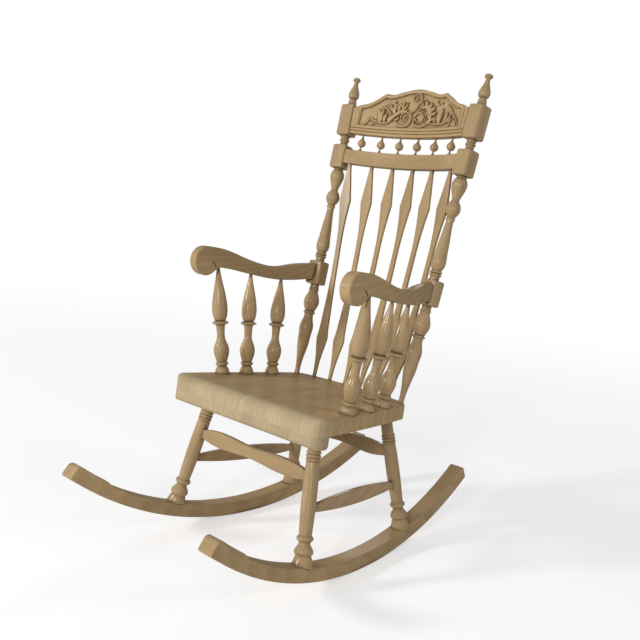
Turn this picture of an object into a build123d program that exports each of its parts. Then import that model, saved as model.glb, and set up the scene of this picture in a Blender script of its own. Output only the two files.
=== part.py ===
"""Rocking chair with a turned arrow-spindle back, carved crest rail and turned arms.

Millimetres, +Z up, the chair faces -Y. The chair stands at its own balance, and the
origin is on the floor below the middle of its length. Heights and depths of the pieces
are set out from the seat's top, and the back's from its own leaning plane.
Right is the +X side.
"""
import os
from math import asin, cos, radians, sin, sqrt, tan

from build123d import *

os.makedirs("parts", exist_ok=True)

# cuts and blanks that run right past the chair
clear_of_all = 1500

# clearances
glue_gap = 0.1              # between any two glued faces
scribe_gap = 0.4            # between a board's end and the round leg it is scribed to
screw_gap = 0.15            # round a screw's shank

# seat
seat_slope = 3.3            # degrees, the seat falls towards the back
seat_thickness = 37
seat_front_half_width = 241
seat_middle_half_width = 217
seat_rear_half_width = 183
seat_front_depth = 372      # front edge, ahead of the back posts
seat_middle_depth = 169
seat_bow_depth = 41         # rear edge on the centre line, behind the back posts
seat_bow_radius = 900
seat_front_corner = 28
seat_rear_corner = 42
seat_roll_radius = 26       # rounding of the top front edge
seat_edge_radius = 7
seat_outer_joint = 110      # outer glue lines, from the centre line
strip_depth = 44            # strip under the seat's front edge, front to back
strip_drop = 27             # the strip's height
strip_front_radius = 12
strip_back_radius = 9
dowel_radius = 4
dowel_length = 40
dowel_level = 18            # below the seat's top
dowel_first = 60            # rear row, ahead of the back posts
dowel_pitch = 120
dowel_rows = 3

# rockers, angles from the seat's upright about the rocking centre
rocking_centre_depth = 150.5    # ahead of the back posts
rocking_centre_height = 491.7   # above the seat's top
rocker_radius = 868
rocker_width = 40
rocker_height = 34          # at the middle
rocker_taper = 8            # how far the top's centre lies ahead of the bottom's
rocker_sweep = 34.3         # degrees each way
rocker_nose_height = 35.5
rocker_nose_start = 26.5    # degrees forwards, where the top begins to rise
rocker_nose_full = 28.6     # degrees forwards, where it has risen
rocker_nose_radius = 12
rocker_foot_radius = 5
rocker_tail_radius = 8
rocker_edge = 2.5

# legs, stations measured down the leg from the seat's top
front_leg_spread = 164.4
front_leg_setback = 82.2    # behind the seat's front edge
front_leg_splay = 9.15      # degrees outwards
front_leg_rake = 7.7        # degrees forwards
front_leg_depth = seat_front_depth - front_leg_setback  # ahead of the back posts
rear_leg_spread = 134.8
rear_leg_depth = 15.7
rear_leg_splay = 10.2
rear_leg_rake = 12.7        # degrees backwards
leg_tenon_radius = 12
leg_tenon_depth = 27
leg_neck_radius = 14.5
leg_ring_station = 87.5     # first of the three rings
leg_ring_pitch = 8
leg_ring_width = 7
leg_ring_radius = 16.8
leg_barrel_station = 112
leg_barrel_top_radius = 15.2
leg_barrel_radius = 16.7
leg_barrel_foot_radius = 14.6
leg_foot_height = 69        # turned foot, from the rocker up
foot_tenon_radius = 9
foot_tenon_depth = 22

# stretchers
stretcher_thickness = 12
stretcher_end_height = 11
stretcher_edge = 2
stretcher_tenon_radius = 4.5
stretcher_tenon_depth = 11
cross_stretcher_height = 37     # at each of the two swells
cross_stretcher_waist = 27
front_stretcher_swell = 90      # swell's centre from the middle
rear_stretcher_swell = 76
side_stretcher_height = 36
front_stretcher_station = 144   # down the front legs
rear_stretcher_station = 136    # down the rear legs
side_stretcher_front_station = 214
side_stretcher_rear_station = 217

# back posts, stations measured up the post from the seat's top
post_spread = 175.8
back_lean = 8.28            # degrees behind the seat's upright
post_splay = 2.23           # degrees outwards
post_twist = 5              # degrees the blocks face inwards
post_stock = 42             # square of the blocks
post_tenon_radius = 6
post_tenon_depth = 28
post_neck_radius = 12
block_rounding = 6
arm_block_bottom = 246
arm_block_height = 64
lower_block_bottom = 570
lower_block_height = 65
upper_block_bottom = 662
upper_block_height = 85

# rails, bowed to the back
bow_radius = 582            # middle of the rails' thickness
bow_depth = 23              # deepest point, behind the posts' plane
rail_thickness = 20
rail_edge = 1.5
lower_rail_bottom = 584
lower_rail_height = 38
crest_bottom = 667
crest_end_height = 71       # heights above the crest's bottom, from the ends to the middle
crest_lobe_height = 80
crest_shoulder_height = 85
crest_cusp_height = 115
crest_valley_height = 113
crest_peak_height = 129
crest_end_place = 178       # places from the centre line
crest_lobe_place = 160
crest_shoulder_place = 143
crest_cusp_place = 96
crest_valley_place = 74
crest_border = 10           # moulded border round the panel
crest_foot_border = 24
crest_panel_half_width = 158
panel_sink = 3
crest_bead_radius = 1.8
crest_bead_levels = (8, 16)     # above the crest's bottom
rail_tenon_thickness = 11
rail_tenon_depth = 15
rail_tenon_margin = 9       # from the rail's edge
rail_tenon_root = 4.2       # how far a tenon begins inside its rail
pin_radius = 2
pin_length = 32

# spindles of the back
back_spindle_count = 6
back_spindle_seat_pitch = 50
back_spindle_rail_pitch = 65
back_spindle_inset = 18     # from the seat's rear edge
back_spindle_thickness = 8
back_spindle_edge = 1.3
back_spindle_bow = 13       # backwards, half way up
arrow_rounding = 12         # at the arrows' corners
back_spindle_tenon_radius = 3.2
back_spindle_seat_tenon = 18
back_spindle_rail_tenon = 13
ball_spindle_pitch = 57.2
ball_radius = 11
ball_tenon_radius = 2.2
ball_tenon_depth = 8

# arms, in side view from the post forwards and from the seat upwards
arm_width = 28
arm_turnout = 9.3           # degrees outwards
arm_root_spread = 183.5     # centre line of the arm at the post
arm_root_depth = 40         # behind the seat's post line
arm_bow = 8                 # outwards, half way along
arm_nose_inset = 2.6        # inwards, at the nose
arm_edge = 4
arm_nose_radius = 35.5
arm_nose_reach = 362        # centre of the nose
arm_nose_height = 277.5
nose_cut_depth = 1.8
arm_tenon_radius = 7
arm_tenon_depth = 16
arm_tenon_height = 280
arm_screw_radius = 2.2
arm_screw_head_radius = 4.2
arm_screw_head_height = 3
arm_screw_length = 62
arm_plug_length = 6
arm_spindle_seats = ((207.9, -241.3), (199.3, -166.5), (184.8, -87.7))
arm_spindle_heads = ((241.8, -268.5, 262), (229.2, -167.0, 254), (208.5, -75.0, 248))
arm_spindle_tenon_radius = 8
arm_spindle_tenon_depth = 24
arm_spindle_head_radius = 4.2
arm_spindle_head_depth = 12


# helpers
def in_direction(plane, x, y, z):
    """A direction given in a plane's own axes."""
    return plane.from_local_coords((x, y, z)) - plane.origin


def plane_along(origin, axis, across):
    """Plane whose normal is the axis, with its x as near to the given way across as can be."""
    normal = axis.normalized()
    sideways = (across - normal * across.dot(normal)).normalized()
    return Plane(origin=origin, x_dir=sideways, z_dir=normal)


def bead(station, width, radius, valley):
    """Outline of one rounded ring of a turning."""
    return ((station, valley), (station + width / 2, radius), (station + width, valley))


def shifted(stretches, base):
    """The same turned outline, further along its axis."""
    return [[(base + station, radius) for station, radius in stretch] for stretch in stretches]


def draw_half_outline(stretches):
    """Half outline of a turning, closed on its axis. It is given as (station, radius) points:
    a stretch of two points is straight, a longer one is smooth, and shoulders join them."""
    outline = [[(radius, station) for station, radius in stretch] for stretch in stretches]
    bottom = outline[0][0]
    top = outline[-1][-1]
    Line((0, bottom[1]), bottom)
    previous = bottom
    for stretch in outline:
        if stretch[0] != previous:
            Line(previous, stretch[0])
        if len(stretch) == 2:
            Line(stretch[0], stretch[1])
        else:
            Spline(*stretch)
        previous = stretch[-1]
    if top[0] > 0:
        Line(top, (0, top[1]))
    Line((0, top[1]), (0, bottom[1]))


def turn(plane, stretches):
    """Turned body round the plane's normal, added to the piece being made."""
    lathe = Plane(origin=plane.origin, x_dir=plane.x_dir, z_dir=-plane.y_dir)
    with BuildSketch(lathe) as half:
        with BuildLine():
            draw_half_outline(stretches)
        make_face()
    revolve(half.sketch, axis=Axis(plane.origin, plane.z_dir))


def peg(plane, start, end, radius):
    """Round peg along the plane's normal, added to the piece being made."""
    with Locations(plane.offset(start)):
        Cylinder(radius, end - start, align=(Align.CENTER, Align.CENTER, Align.MIN))


def bore(plane, start, end, radius):
    """Round hole along the plane's normal, cut from the piece being made."""
    with Locations(plane.offset(start)):
        Cylinder(radius, end - start, align=(Align.CENTER, Align.CENTER, Align.MIN), mode=Mode.SUBTRACT)


def round_corner(point, radius):
    """Round the corner of the sketch being drawn that lies at a point."""
    fillet(vertices().sort_by_distance(point)[0], radius)


def label_and_write(piece, name):
    """Name a finished piece and write it out."""
    piece.part.label = name
    export_step(piece.part, f"parts/{name}.step")


def write_pair(piece, name):
    """Write a right-hand piece and its mirror image for the left."""
    with BuildPart() as twin:
        mirror(piece.part, about=Plane.YZ)
    label_and_write(piece, f"{name}_right")
    label_and_write(twin, f"{name}_left")


# reference planes
def rocker_reach(angle):
    """How far a rocker's rounded end stands from the rocking centre, along the floor."""
    inner = rocker_radius - rocker_foot_radius
    return inner * sin(radians(angle) - asin(rocker_foot_radius / inner)) + rocker_foot_radius


slope = radians(seat_slope)
lean = radians(back_lean)
front_reach = rocker_reach(rocker_sweep + seat_slope)
rear_reach = rocker_reach(rocker_sweep - seat_slope)
rocking_centre = Vector(0, (front_reach - rear_reach) / 2, rocker_radius)
backwards = Vector(0, cos(slope), -sin(slope))
upwards = Vector(0, sin(slope), cos(slope))
seat_origin = rocking_centre + backwards * rocking_centre_depth - upwards * rocking_centre_height

# seat: x across, y to the back, z up from the seat's top, between the back posts
seat = Plane(origin=seat_origin, x_dir=(1, 0, 0), z_dir=upwards)
seat_side = Plane(origin=seat_origin, x_dir=backwards, z_dir=(1, 0, 0))
# back: x across, y behind the posts' plane, z up along it
back = Plane(origin=seat_origin, x_dir=(1, 0, 0), z_dir=in_direction(seat, 0, sin(lean), cos(lean)))
back_front = Plane(origin=seat_origin, x_dir=(1, 0, 0), z_dir=-back.y_dir)


def leg_plane(spread, depth, splay, rake):
    """A right leg's plane: its origin on the seat's top, its normal down the leg."""
    down = in_direction(seat, tan(radians(splay)), tan(radians(rake)), -1)
    return plane_along(seat.from_local_coords((spread, -depth, 0)), down, Vector(1, 0, 0))


def post_plane(side):
    """A post's plane: its origin on the seat's top, its normal up the post, and its x
    square to the block's side faces."""
    splay = radians(post_splay)
    twist = radians(post_twist)
    up = in_direction(back, side * sin(splay), 0, cos(splay))
    across = in_direction(back, cos(twist), -side * sin(twist), 0)
    return plane_along(seat.from_local_coords((side * post_spread, 0, 0)), up, across)


front_leg_plane = leg_plane(front_leg_spread, front_leg_depth, front_leg_splay, -front_leg_rake)
rear_leg_plane = leg_plane(rear_leg_spread, rear_leg_depth, rear_leg_splay, rear_leg_rake)


def rocker_top_radius(angle):
    """Distance from the rocking centre to the rocker's top, at an angle in radians."""
    inner = rocker_radius - rocker_height
    return sqrt(inner ** 2 - (rocker_taper * cos(angle)) ** 2) - rocker_taper * sin(angle)


def foot_station(leg):
    """How far down a leg's axis its foot meets the top of the rocker."""
    top_centre = seat.from_local_coords((0, -rocking_centre_depth - rocker_taper, rocking_centre_height))
    offset = leg.origin - top_centre
    inner = rocker_radius - rocker_height
    square = leg.z_dir.Y ** 2 + leg.z_dir.Z ** 2
    half = offset.Y * leg.z_dir.Y + offset.Z * leg.z_dir.Z
    rest = offset.Y ** 2 + offset.Z ** 2 - inner ** 2
    return (sqrt(half ** 2 - square * rest) - half) / square


front_foot = foot_station(front_leg_plane)
rear_foot = foot_station(rear_leg_plane)
post_right = post_plane(1)


# rockers
def rocker_point(radius, angle):
    """A point of the rocker's side view, at an angle in radians from the seat's upright."""
    return (radius * sin(angle) - rocking_centre_depth, rocking_centre_height - radius * cos(angle))


def draw_rocker_profile():
    """Side view of a rocker: round foot, tapering top and a raised nose."""
    sweep = radians(rocker_sweep)
    rise_start = -radians(rocker_nose_start)
    rise_end = -radians(rocker_nose_full)
    nose_radius = rocker_radius - rocker_nose_height
    tail = rocker_point(rocker_top_radius(sweep), sweep)
    middle = rocker_point(rocker_top_radius(0), 0)
    dip = rocker_point(rocker_top_radius(rise_start), rise_start)
    crown = rocker_point(nose_radius, rise_end)
    nose_middle = rocker_point(nose_radius, (rise_end - sweep) / 2)
    nose = rocker_point(nose_radius, -sweep)
    front_toe = rocker_point(rocker_radius, -sweep)
    rear_toe = rocker_point(rocker_radius, sweep)
    ThreePointArc(front_toe, rocker_point(rocker_radius, 0), rear_toe)
    Line(rear_toe, tail)
    ThreePointArc(tail, middle, dip)
    Spline(dip, crown, tangents=((-cos(rise_start), -sin(rise_start)), (-cos(rise_end), -sin(rise_end))))
    ThreePointArc(crown, nose_middle, nose)
    Line(nose, front_toe)
    return front_toe, nose, tail, rear_toe


front_foot_point = seat.to_local_coords(front_leg_plane.origin + front_leg_plane.z_dir * front_foot)
rear_foot_point = seat.to_local_coords(rear_leg_plane.origin + rear_leg_plane.z_dir * rear_foot)
toe_in = (front_foot_point.X - rear_foot_point.X) / (rear_foot_point.Y - front_foot_point.Y)
rocker_length = 2 * rocker_radius


def rocker_line(depth, offset):
    """A point of the rocker's plan, which runs through both feet."""
    middle = front_foot_point.X - toe_in * (depth - front_foot_point.Y)
    return (middle + offset, depth)


with BuildPart() as rocker:
    with BuildSketch(seat):
        with BuildLine():
            Polyline(
                rocker_line(-rocker_length / 2, -rocker_width / 2),
                rocker_line(-rocker_length / 2, rocker_width / 2),
                rocker_line(rocker_length / 2, rocker_width / 2),
                rocker_line(rocker_length / 2, -rocker_width / 2),
                close=True,
            )
        make_face()
    extrude(amount=-rocker_radius)
    with BuildSketch(seat_side):
        with BuildLine():
            front_toe, nose, tail, rear_toe = draw_rocker_profile()
        make_face()
        round_corner(front_toe, rocker_foot_radius)
        round_corner(rear_toe, rocker_foot_radius)
        round_corner(nose, rocker_nose_radius)
        round_corner(tail, rocker_tail_radius)
    extrude(amount=rocker_length, both=True, mode=Mode.INTERSECT)
    rounded = edges().filter_by(Axis.X, reverse=True, tolerance=6)
    fillet(rounded, rocker_edge)
    for leg, foot in ((front_leg_plane, front_foot), (rear_leg_plane, rear_foot)):
        bore(leg, foot - leg_neck_radius, foot + foot_tenon_depth + glue_gap, foot_tenon_radius + glue_gap)
write_pair(rocker, "rocker")


# legs
def leg_outline(foot):
    """A leg's turned outline, from the seat down to just inside the rocker."""
    rings = [bead(leg_ring_station + index * leg_ring_pitch, leg_ring_width, leg_ring_radius, leg_neck_radius)
             for index in range(3)]
    barrel_foot = foot - leg_foot_height
    barrel_middle = (leg_barrel_station + barrel_foot) / 2
    barrel = (
        (leg_barrel_station, leg_barrel_top_radius),
        (barrel_middle, leg_barrel_radius),
        (barrel_foot, leg_barrel_foot_radius),
    )
    turned_foot = shifted((
        bead(-63, 13, 18.8, 14),
        ((-49, 13), (-46.5, 12.8), (-39.5, 16), (-28.5, 21.3), (-24, 20.2)),
        ((-22.5, 17.5), (-20, 17.5)),
        ((-20, 17.5), (-11.5, 20.6), (0, 23.6), (leg_neck_radius, 25.5)),
    ), foot)
    neck = ((leg_tenon_depth, leg_neck_radius), (leg_ring_station, leg_neck_radius))
    return [neck, *rings, barrel, *turned_foot]


def barrel_radius(station, foot):
    """A leg's radius at a station of its barrel."""
    middle = (leg_barrel_station + foot - leg_foot_height) / 2
    half = middle - leg_barrel_station
    share = (station - middle) / half
    end = leg_barrel_top_radius if share < 0 else leg_barrel_foot_radius
    return leg_barrel_radius - (leg_barrel_radius - end) * share ** 2


def leg_point(leg, station):
    """A point on a leg's axis."""
    return leg.origin + leg.z_dir * station


def mirrored_point(point):
    """The same point on the other side of the chair."""
    return Vector(-point.X, point.Y, point.Z)


def stretcher_plane(start, end):
    """Plane of a stretcher's face: x along it, y up, its origin half way."""
    along = (end - start).normalized()
    up = (upwards - along * upwards.dot(along)).normalized()
    return Plane(origin=(start + end) / 2, x_dir=along, z_dir=along.cross(up))


front_pin_point = leg_point(front_leg_plane, front_stretcher_station)
rear_pin_point = leg_point(rear_leg_plane, rear_stretcher_station)
side_front_point = leg_point(front_leg_plane, side_stretcher_front_station)
side_rear_point = leg_point(rear_leg_plane, side_stretcher_rear_station)
front_stretcher_plane = stretcher_plane(mirrored_point(front_pin_point), front_pin_point)
rear_stretcher_plane = stretcher_plane(mirrored_point(rear_pin_point), rear_pin_point)
side_stretcher_plane = stretcher_plane(side_front_point, side_rear_point)


def bore_for_stretcher(point, way, radius):
    """Blind hole in a leg for a stretcher's tenon, from the leg's axis outwards."""
    socket = plane_along(point, way, upwards)
    start = radius - stretcher_tenon_depth - glue_gap
    bore(socket, start, 2 * radius, stretcher_tenon_radius + glue_gap)


def make_leg(leg, foot, sockets):
    """A right leg: its tenon in the seat, the turning, and its foot on the rocker."""
    underside = seat.offset(-seat_thickness - glue_gap)
    inner = rocker_radius - rocker_height - glue_gap
    top_centre = seat.from_local_coords((0, -rocking_centre_depth - rocker_taper, rocking_centre_height))
    with BuildPart() as piece:
        turn(leg, leg_outline(foot))
        split(bisect_by=underside, keep=Keep.BOTTOM)
        with BuildSketch(Plane(origin=top_centre, z_dir=(1, 0, 0))):
            Circle(inner)
        extrude(amount=rocker_length, both=True, mode=Mode.INTERSECT)
        peg(leg, seat_thickness - leg_tenon_depth, leg_ring_station, leg_tenon_radius)
        peg(leg, foot - leg_foot_height, foot + foot_tenon_depth, foot_tenon_radius)
        for point, way, radius in sockets:
            bore_for_stretcher(point, way, radius)
    return piece


front_radius = barrel_radius(front_stretcher_station, front_foot)
rear_radius = barrel_radius(rear_stretcher_station, rear_foot)
side_front_radius = barrel_radius(side_stretcher_front_station, front_foot)
side_rear_radius = barrel_radius(side_stretcher_rear_station, rear_foot)
inwards = Vector(-1, 0, 0)
front_leg = make_leg(front_leg_plane, front_foot, (
    (front_pin_point, inwards, front_radius),
    (side_front_point, side_stretcher_plane.x_dir, side_front_radius),
))
rear_leg = make_leg(rear_leg_plane, rear_foot, (
    (rear_pin_point, inwards, rear_radius),
    (side_rear_point, -side_stretcher_plane.x_dir, side_rear_radius),
))
write_pair(front_leg, "front_leg")
write_pair(rear_leg, "rear_leg")


# stretchers: flat boards swelling between the legs
def stretcher(plane, swells, ends):
    """A stretcher. Each end is (leg's plane, point on the leg's axis, leg's radius), and the
    swells are points of the upper edge between the ends."""
    half_end = stretcher_end_height / 2
    half_length = (ends[0][1] - ends[1][1]).length / 2
    upper = ((-half_length, half_end), *swells, (half_length, half_end))
    with BuildPart() as piece:
        with BuildSketch(plane.offset(-stretcher_thickness / 2)):
            with BuildLine():
                top_edge = Spline(*upper)
                mirror(top_edge, about=Plane.XZ)
                Line(upper[0], (upper[0][0], -half_end))
                Line(upper[-1], (upper[-1][0], -half_end))
            make_face()
        extrude(amount=stretcher_thickness)
        fillet(edges().filter_by(lambda edge: edge.length > half_length), stretcher_edge)
        for leg, point, radius in ends:
            clear = radius + scribe_gap
            bore(plane_along(point, leg.z_dir, plane.z_dir), -rocker_radius / 2, rocker_radius / 2, clear)
        for side, (leg, point, radius) in zip((-1, 1), ends):
            socket = plane_along(point, -side * plane.x_dir, upwards)
            start = radius - stretcher_tenon_depth
            peg(socket, start, 2 * radius + scribe_gap, stretcher_tenon_radius)
    return piece


def cross_stretcher(plane, swell_place, leg, point, radius):
    """A stretcher between two like legs, with two swells and a waist."""
    left = Plane(origin=mirrored_point(leg.origin), z_dir=mirrored_point(leg.z_dir))
    swells = (
        (-swell_place, cross_stretcher_height / 2),
        (0, cross_stretcher_waist / 2),
        (swell_place, cross_stretcher_height / 2),
    )
    return stretcher(plane, swells, ((left, mirrored_point(point), radius), (leg, point, radius)))


front_stretcher = cross_stretcher(
    front_stretcher_plane, front_stretcher_swell, front_leg_plane, front_pin_point, front_radius)
rear_stretcher = cross_stretcher(
    rear_stretcher_plane, rear_stretcher_swell, rear_leg_plane, rear_pin_point, rear_radius)
side_stretcher = stretcher(side_stretcher_plane, ((0, side_stretcher_height / 2),), (
    (front_leg_plane, side_front_point, side_front_radius),
    (rear_leg_plane, side_rear_point, side_rear_radius),
))
label_and_write(front_stretcher, "front_stretcher")
label_and_write(rear_stretcher, "rear_stretcher")
write_pair(side_stretcher, "side_stretcher")


# back posts
post_lower_turning = (
    ((-5, 6.8), (0, 7)),
    ((0, 7), (60, 12), (86, 15.8), (110, 17.3), (132, 18.3), (145, 15), (157, 12.3)),
    bead(164, 8, 16.2, 12.5),
    ((175, 14.5), (186, 18.7), (197, 21), (208, 19), (219, 15), (226, 12.6)),
    bead(229, 7, 14, 12),
)
# from the arm block's top
post_middle_turning = (
    bead(10, 7, 15.3, 12.2),
    bead(17, 7, 15.3, 12.2),
    ((26, 12.5), (46, 18), (60, 16.5), (88, 14.2), (116, 11.4), (145, 9.3)),
    bead(149, 8, 11.7, 9.5),
    ((160, 11), (176, 18.3), (198, 9.5)),
    ((200, 9.4), (230, 18), (243, 18.6), (254, 13)),
)
# from the lower block's top
post_neck_turning = (
    ((0, 10.5), (11, 10.5)),
    bead(11, 6, 13.7, 10.5),
)
# from the upper block's top
finial_turning = (
    ((1, 11.5), (7, 11.5), (15, 10)),
    ((19, 8.5), (21, 12), (30, 14.7), (40, 12.7), (52, 8.2), (64, 5.4)),
    ((68, 7), (73, 10.6), (77, 7.8), (79, 0)),
)


def post_stretch(start, end):
    """A plain neck of the post between two stations."""
    return ((start, post_neck_radius), (end, post_neck_radius))


def rail_bow(across):
    """How far the rails' middle surface lies behind the posts' plane."""
    return bow_depth - bow_radius + sqrt(bow_radius ** 2 - across ** 2)


def rail_socket(station):
    """The right block's inner face where a rail meets it at a station: the plane's normal
    points into the block and its y runs up the post."""
    axis_point = back.to_local_coords(post_right.origin + post_right.z_dir * station)
    inner_face = axis_point.X - post_stock / 2 / cos(radians(post_twist))
    middle = inner_face + rail_bow(inner_face) * tan(radians(post_twist))
    bowed = post_right.to_local_coords(back.from_local_coords((middle, rail_bow(middle), axis_point.Z)))
    on_face = post_right.from_local_coords((-post_stock / 2, bowed.Y, bowed.Z))
    return Plane(origin=on_face, x_dir=-post_right.y_dir, z_dir=post_right.x_dir)


lower_rail_socket = rail_socket(lower_rail_bottom + lower_rail_height / 2)
crest_socket = rail_socket(crest_bottom + crest_end_height / 2)
rail_sockets = ((lower_rail_socket, lower_rail_height), (crest_socket, crest_end_height))


def pin_plane(socket):
    """Plane of the pin through a tenon, at the back face of the block, its normal forwards."""
    tenon_middle = post_right.to_local_coords(socket.origin + socket.z_dir * rail_tenon_depth / 2)
    origin = post_right.from_local_coords((tenon_middle.X, post_stock / 2, tenon_middle.Z))
    return Plane(origin=origin, x_dir=post_right.x_dir, z_dir=-post_right.y_dir)


arm_root = seat.from_local_coords((arm_root_spread, arm_root_depth, 0))
turnout = radians(arm_turnout)
# arm: x forwards along it, y up, z inwards
arm_side = Plane(
    origin=arm_root,
    x_dir=in_direction(seat, sin(turnout), -cos(turnout), 0),
    z_dir=in_direction(seat, -cos(turnout), -sin(turnout), 0),
)
arm_tenon_station = (post_right.to_local_coords(arm_side.from_local_coords((0, arm_tenon_height, 0)))).Z
# arm's joint: on the front face of the arm block, its normal out of the block
arm_joint = Plane(
    origin=post_right.from_local_coords((0, -post_stock / 2, arm_tenon_station)),
    x_dir=post_right.x_dir,
    z_dir=-post_right.y_dir,
)
screw_head_start = -post_stock + arm_plug_length

with BuildPart() as back_post:
    for bottom, height in (
        (arm_block_bottom, arm_block_height),
        (lower_block_bottom, lower_block_height),
        (upper_block_bottom, upper_block_height),
    ):
        with BuildSketch(post_right.offset(bottom)):
            Rectangle(post_stock, post_stock)
        extrude(amount=height)
    fillet(edges(), block_rounding)
    arm_block_top = arm_block_bottom + arm_block_height
    lower_block_top = lower_block_bottom + lower_block_height
    upper_block_top = upper_block_bottom + upper_block_height
    turn(post_right, (
        *post_lower_turning,
        post_stretch(arm_block_bottom - block_rounding, arm_block_top + block_rounding),
        *shifted(post_middle_turning, arm_block_top),
        post_stretch(lower_block_bottom, lower_block_top),
        *shifted(post_neck_turning, lower_block_top),
        post_stretch(upper_block_bottom - block_rounding, upper_block_top),
        *shifted(finial_turning, upper_block_top),
    ))
    split(bisect_by=seat.offset(glue_gap), keep=Keep.TOP)
    peg(post_right, -post_tenon_depth, 0, post_tenon_radius)
    for socket, height in rail_sockets:
        with BuildSketch(socket):
            Rectangle(rail_tenon_thickness + 2 * glue_gap, height - 2 * rail_tenon_margin + 2 * glue_gap)
        extrude(amount=rail_tenon_depth + glue_gap, mode=Mode.SUBTRACT)
        bore(pin_plane(socket), 0, pin_length + glue_gap, pin_radius + glue_gap)
    bore(arm_joint, -arm_tenon_depth - glue_gap, post_stock, arm_tenon_radius + glue_gap)
    bore(arm_joint, -2 * post_stock, 0, arm_screw_radius + screw_gap)
    head_end = screw_head_start + arm_screw_head_height
    bore(arm_joint, -2 * post_stock, head_end, arm_screw_head_radius + glue_gap)
write_pair(back_post, "back_post")

with BuildPart() as rail_pins:
    for socket, height in rail_sockets:
        peg(pin_plane(socket), 0, pin_length, pin_radius)
    mirror(about=Plane.YZ)
label_and_write(rail_pins, "rail_pins")


# rails
def draw_rail_plan():
    """The rails' bowed plan, wider than the chair."""
    with Locations((0, bow_depth - bow_radius)):
        Circle(bow_radius + rail_thickness / 2)
        Circle(bow_radius - rail_thickness / 2, mode=Mode.SUBTRACT)


def cut_to_blocks(socket):
    """Cut a rail's ends where they meet the blocks."""
    end = socket.offset(-glue_gap)
    other_end = Plane(origin=mirrored_point(end.origin), z_dir=mirrored_point(end.z_dir))
    split(bisect_by=end, keep=Keep.BOTTOM)
    split(bisect_by=other_end, keep=Keep.BOTTOM)


def rail_tenon(socket, height):
    """Tenon of a rail's right end, bored for its pins."""
    with BuildPart() as tenon:
        with BuildSketch(socket.offset(-rail_tenon_root)):
            Rectangle(rail_tenon_thickness, height - 2 * rail_tenon_margin)
        extrude(amount=rail_tenon_depth + rail_tenon_root)
        bore(pin_plane(socket), 0, pin_length + glue_gap, pin_radius + glue_gap)
    return tenon.part


def ball_places():
    """Places of the ball spindles from the centre line."""
    first = -(back_spindle_count - 1) / 2 * ball_spindle_pitch
    return [first + index * ball_spindle_pitch for index in range(back_spindle_count)]


def ball_plane(across):
    """A ball spindle's plane: its origin on the lower rail's top, its normal up."""
    level = lower_rail_bottom + lower_rail_height
    foot = back.from_local_coords((across, rail_bow(across), level))
    return Plane(origin=foot, x_dir=back.x_dir, z_dir=back.z_dir)


ball_gap = crest_bottom - lower_rail_bottom - lower_rail_height


def spindle_plane(index):
    """A back spindle's plane: its origin on the seat's top, y up the spindle, its normal to the
    front. The faces are turned half as much as the rail's bow."""
    place = index - (back_spindle_count - 1) / 2
    seat_across = place * back_spindle_seat_pitch
    rail_across = place * back_spindle_rail_pitch
    seat_edge = seat_bow_depth - seat_bow_radius + sqrt(seat_bow_radius ** 2 - seat_across ** 2)
    foot = seat.from_local_coords((seat_across, seat_edge - back_spindle_inset, 0))
    head = back.from_local_coords((rail_across, rail_bow(rail_across), lower_rail_bottom))
    turn_angle = asin(rail_across / bow_radius) / 2
    facing = in_direction(back, -sin(turn_angle), -cos(turn_angle), 0)
    up = (head - foot).normalized()
    across = up.cross(facing).normalized()
    return Plane(origin=foot, x_dir=across, z_dir=across.cross(up)), (head - foot).length


def spindle_axis(index):
    """Plane along a back spindle's axis and the spindle's length."""
    face, length = spindle_plane(index)
    return Plane(origin=face.origin, x_dir=face.x_dir, z_dir=face.y_dir), length


tenon_gap = back_spindle_tenon_radius + glue_gap

with BuildPart() as lower_back_rail:
    # the right half, then its mirror image
    with BuildSketch(back.offset(lower_rail_bottom)):
        draw_rail_plan()
    extrude(amount=lower_rail_height)
    split(bisect_by=Plane(origin=back.origin, z_dir=-back.y_dir).offset(bow_radius / 2), keep=Keep.BOTTOM)
    chamfer(edges().filter_by(GeomType.CIRCLE), rail_edge)
    split(bisect_by=lower_rail_socket.offset(-glue_gap), keep=Keep.BOTTOM)
    split(bisect_by=Plane.YZ, keep=Keep.TOP)
    add(rail_tenon(lower_rail_socket, lower_rail_height))
    for across in ball_places()[back_spindle_count // 2:]:
        bore(ball_plane(across), -ball_tenon_depth - glue_gap, 0, ball_tenon_radius + glue_gap)
    for index in range(back_spindle_count // 2, back_spindle_count):
        axis_plane, length = spindle_axis(index)
        socket_end = length + back_spindle_rail_tenon + glue_gap
        bore(axis_plane, length - back_spindle_thickness, socket_end, tenon_gap)
    mirror(about=Plane.YZ)
label_and_write(lower_back_rail, "lower_back_rail")


def draw_crest_outline(border=0):
    """Front view of the crest rail: a serpentine top with a shoulder at each end, drawn in by
    the border. The sides run past the blocks' faces, where the rail is cut off."""
    far = post_spread + post_stock
    drop = crest_bottom - border
    peak = (0, drop + crest_peak_height)
    valley = (crest_valley_place, drop + crest_valley_height)
    cusp = (crest_cusp_place - border / 2, drop + crest_cusp_height)
    shoulder = (crest_shoulder_place - border / 2, drop + crest_shoulder_height)
    lobe = (crest_lobe_place - border / 2, drop + crest_lobe_height)
    end = (crest_end_place, drop + crest_end_height)
    right_half = (
        Spline(peak, valley, tangents=((1, 0), (1, -0.1))),
        Spline(valley, cusp, tangents=((1, -0.1), (1, 0))),
        Spline(cusp, shoulder, lobe, end, tangents=((1, -0.6), (1, -0.8))),
        Line(end, (far, end[1])),
        Line((far, end[1]), (far, crest_bottom)),
    )
    mirror(right_half, about=Plane.YZ)
    Line((far, crest_bottom), (-far, crest_bottom))


bow_axis = Axis(back.from_local_coords((0, bow_depth - bow_radius, 0)), back.z_dir)
front_radius_of_rails = bow_radius - rail_thickness / 2

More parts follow.
